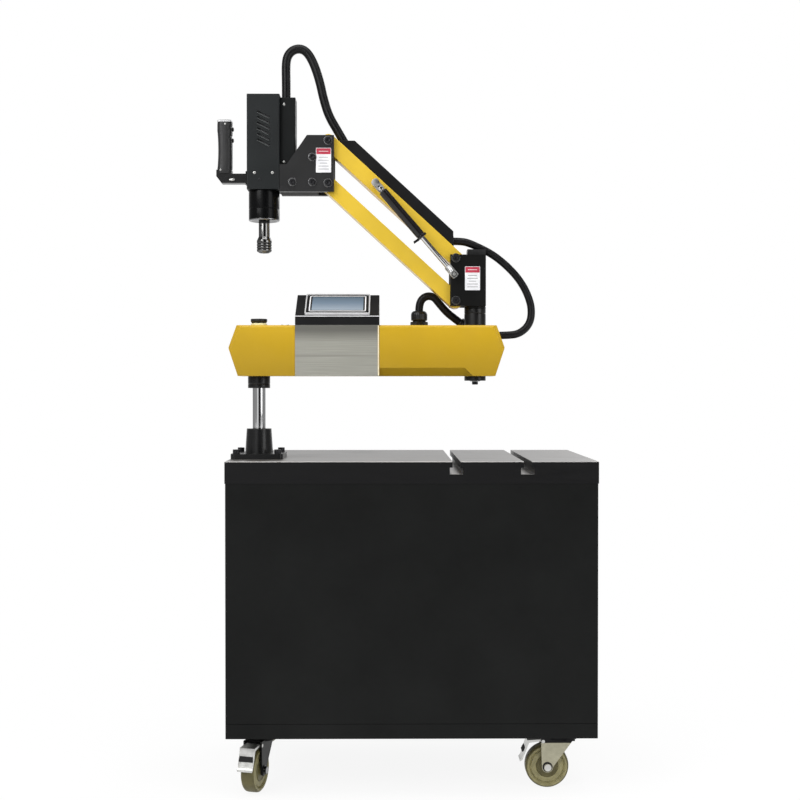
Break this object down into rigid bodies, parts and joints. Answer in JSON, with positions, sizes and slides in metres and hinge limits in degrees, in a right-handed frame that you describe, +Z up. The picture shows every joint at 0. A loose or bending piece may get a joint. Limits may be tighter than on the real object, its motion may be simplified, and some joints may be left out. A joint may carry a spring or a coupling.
{
  "type": "arm tapping machine",
  "caption": "Parallel-arm tapping machine: level tapping head on a gas-sprung double arm, turning on a column at the corner of a T-slotted steel worktop on a wheeled cabinet.",
  "frame": {"origin": "on the floor under the middle of the whole machine without its hoses", "axes": "+X to the operator's right, +Y away from the operator, +Z up"},
  "size_m": [0.8751, 0.5178, 1.7266],
  "materials": {
    "ground_steel": "ground",
    "cabinet_black": "satin powder coat",
    "zinc": "zinc plated",
    "black_steel": "satin",
    "black_oxide": "black oxide",
    "chrome": "hard chrome",
    "black_plastic": "moulded",
    "yellow_casting": "yellow paint",
    "yellow_link": "yellow paint",
    "stainless": "brushed",
    "console_black": "satin",
    "silver_frame": "satin",
    "screen": "dark display glass",
    "cream_bush": "satin",
    "bearing_steel": "ground",
    "unit_grey": "matt",
    "bracket_black": "satin",
    "gas_black": "gloss",
    "head_black": "fine texture",
    "spindle_black": "gloss",
    "chuck_steel": "turned",
    "grip_rubber": "moulded",
    "wheel_nylon": "cast nylon",
    "hose_black": "satin"
  },
  "bodies": {
    "base": {"worktop": "ground_steel", "cabinet_shell": "cabinet_black", "base_frame": "cabinet_black", "rear_panel": "cabinet_black", "panel_screws": "zinc", "column_flange": "black_steel", "flange_bolts": "black_oxide", "column_shaft": "chrome", "column_collar": "black_steel", "column_cap": "black_plastic", "caster_plates": "zinc"},
    "lower_arm": {"arm_housing": "yellow_casting", "front_panel": "stainless", "console_housing": "console_black", "display_bezel": "silver_frame", "display_screen": "screen", "column_bushes": "cream_bush", "elbow_housing": "black_steel", "elbow_bearings": "bearing_steel", "switch_frame": "black_plastic", "hose_glands": "black_plastic", "control_unit": "unit_grey", "gland_hose": "hose_black", "loop_hose": "hose_black"},
    "rocker": {"power_rocker": "black_plastic"},
    "swivel": {"rear_bracket": "bracket_black", "elbow_shaft": "bearing_steel", "elbow_cap": "black_steel", "rear_pins": "black_oxide", "hose_saddle": "black_plastic", "bridge_hose": "hose_black"},
    "upper_link": {"upper_link": "yellow_link", "cable_duct": "console_black"},
    "lower_link": {"lower_link": "yellow_link"},
    "gas_body": {"gas_cylinder": "gas_black"},
    "gas_rod": {"gas_rod": "chrome"},
    "head": {"front_bracket": "bracket_black", "bracket_bolts": "black_oxide", "head_mount_block": "bracket_black", "head_housing": "head_black", "cable_cover": "head_black", "servo_motor": "unit_grey", "spindle_housing": "spindle_black", "handle_arm": "black_steel", "handle_grip": "grip_rubber", "head_hose": "hose_black"},
    "spindle": {"spindle_chuck": "chrome"},
    "sleeve": {"chuck_sleeve": "chuck_steel"},
    "start_button": {"start_button": "black_plastic"},
    "reverse_button": {"reverse_button": "black_plastic"},
    "caster_fl": {"caster_fork_fl": "zinc"},
    "wheel_fl": {"caster_wheel_fl": "wheel_nylon"},
    "pedal_fl": {"brake_pedal_fl": "zinc"},
    "caster_fr": {"caster_fork_fr": "zinc"},
    "wheel_fr": {"caster_wheel_fr": "wheel_nylon"},
    "pedal_fr": {"brake_pedal_fr": "zinc"},
    "caster_rl": {"caster_fork_rl": "zinc"},
    "wheel_rl": {"caster_wheel_rl": "wheel_nylon"},
    "caster_rr": {"caster_fork_rr": "zinc"},
    "wheel_rr": {"caster_wheel_rr": "wheel_nylon"}
  },
  "joints": [
    {"name": "column_swing", "type": "hinge", "parent": "base", "child": "lower_arm", "pos_m": [-0.34, -0.105, 0.949], "axis": [0, 0, 1], "range_deg": [-175, 175]},
    {"name": "power_switch", "type": "hinge", "parent": "lower_arm", "child": "rocker", "pos_m": [-0.27851, -0.105, 1.0665], "axis": [0, 1, 0], "range_deg": [-8, 8]},
    {"name": "elbow_swing", "type": "hinge", "parent": "lower_arm", "child": "swivel", "pos_m": [0.168, -0.105, 1.0665], "axis": [0, 0, 1], "range_deg": [-170, 170], "deforming": ["loop_hose"]},
    {"name": "arm_lift", "type": "hinge", "parent": "swivel", "child": "upper_link", "pos_m": [0.121, -0.105, 1.2236], "axis": [0, 1, 0], "range_deg": [-28, 25], "deforming": ["bridge_hose"]},
    {"name": "lower_link_tilt", "type": "hinge", "parent": "swivel", "child": "lower_link", "pos_m": [0.121, -0.105, 1.125], "axis": [0, 1, 0], "range_deg": [-28, 25]},
    {"name": "head_level", "type": "hinge", "parent": "upper_link", "child": "head", "pos_m": [-0.17561, -0.105, 1.49539], "axis": [0, 1, 0], "range_deg": [-25, 28], "deforming": ["head_hose"]},
    {"name": "gas_tilt", "type": "hinge", "parent": "upper_link", "child": "gas_body", "pos_m": [-0.06553, -0.158, 1.39452], "axis": [0, 1, 0], "range_deg": [-3, 3]},
    {"name": "gas_stroke", "type": "slide", "parent": "gas_body", "child": "gas_rod", "axis": [0.653, 0, -0.7573], "range_m": [-0.016, 0.014]},
    {"name": "spindle_spin", "type": "hinge", "parent": "head", "child": "spindle", "pos_m": [-0.32741, -0.105, 1.31239], "axis": [0, 0, 1], "continuous": true},
    {"name": "sleeve_slide", "type": "slide", "parent": "spindle", "child": "sleeve", "axis": [0, 0, 1], "range_m": [0, 0.006], "stiffness_N_per_m": 1500},
    {"name": "start_press", "type": "slide", "parent": "head", "child": "start_button", "axis": [-1, 0, 0], "range_m": [0, 0.003], "stiffness_N_per_m": 600},
    {"name": "reverse_press", "type": "slide", "parent": "head", "child": "reverse_button", "axis": [-1, 0, 0], "range_m": [0, 0.003], "stiffness_N_per_m": 600},
    {"name": "caster_swivel_fl", "type": "hinge", "parent": "base", "child": "caster_fl", "pos_m": [-0.331, -0.165, 0.115], "axis": [0, 0, 1], "continuous": true},
    {"name": "wheel_roll_fl", "type": "hinge", "parent": "caster_fl", "child": "wheel_fl", "pos_m": [-0.34065, -0.19864, 0.05], "axis": [0.9613, -0.2756, 0], "continuous": true},
    {"name": "brake_press_fl", "type": "hinge", "parent": "caster_fl", "child": "pedal_fl", "pos_m": [-0.3434, -0.20826, 0.1085], "axis": [0.9613, -0.2756, 0], "range_deg": [0, 8]},
    {"name": "caster_swivel_fr", "type": "hinge", "parent": "base", "child": "caster_fr", "pos_m": [0.365, -0.165, 0.115], "axis": [0, 0, 1], "continuous": true},
    {"name": "wheel_roll_fr", "type": "hinge", "parent": "caster_fr", "child": "wheel_fr", "pos_m": [0.33, -0.165, 0.05], "axis": [0, -1, 0], "continuous": true},
    {"name": "brake_press_fr", "type": "hinge", "parent": "caster_fr", "child": "pedal_fr", "pos_m": [0.32, -0.165, 0.1085], "axis": [0, -1, 0], "range_deg": [0, 8]},
    {"name": "caster_swivel_rl", "type": "hinge", "parent": "base", "child": "caster_rl", "pos_m": [-0.331, 0.165, 0.115], "axis": [0, 0, 1], "continuous": true},
    {"name": "wheel_roll_rl", "type": "hinge", "parent": "caster_rl", "child": "wheel_rl", "pos_m": [-0.36131, 0.1825, 0.05], "axis": [-0.5, -0.866, 0], "continuous": true},
    {"name": "caster_swivel_rr", "type": "hinge", "parent": "base", "child": "caster_rr", "pos_m": [0.365, 0.165, 0.115], "axis": [0, 0, 1], "continuous": true},
    {"name": "wheel_roll_rr", "type": "hinge", "parent": "caster_rr", "child": "wheel_rr", "pos_m": [0.38143, 0.1959, 0.05], "axis": [-0.8829, 0.4695, 0], "continuous": true}
  ],
  "couplings": [
    {"joint": "lower_link_tilt", "follows": "arm_lift", "ratio": 1},
    {"joint": "head_level", "follows": "arm_lift", "ratio": -1},
    {"joint": "gas_tilt", "follows": "arm_lift", "ratio": -0.093},
    {"joint": "gas_stroke", "follows": "arm_lift", "m_per_rad": 0.03}
  ]
}
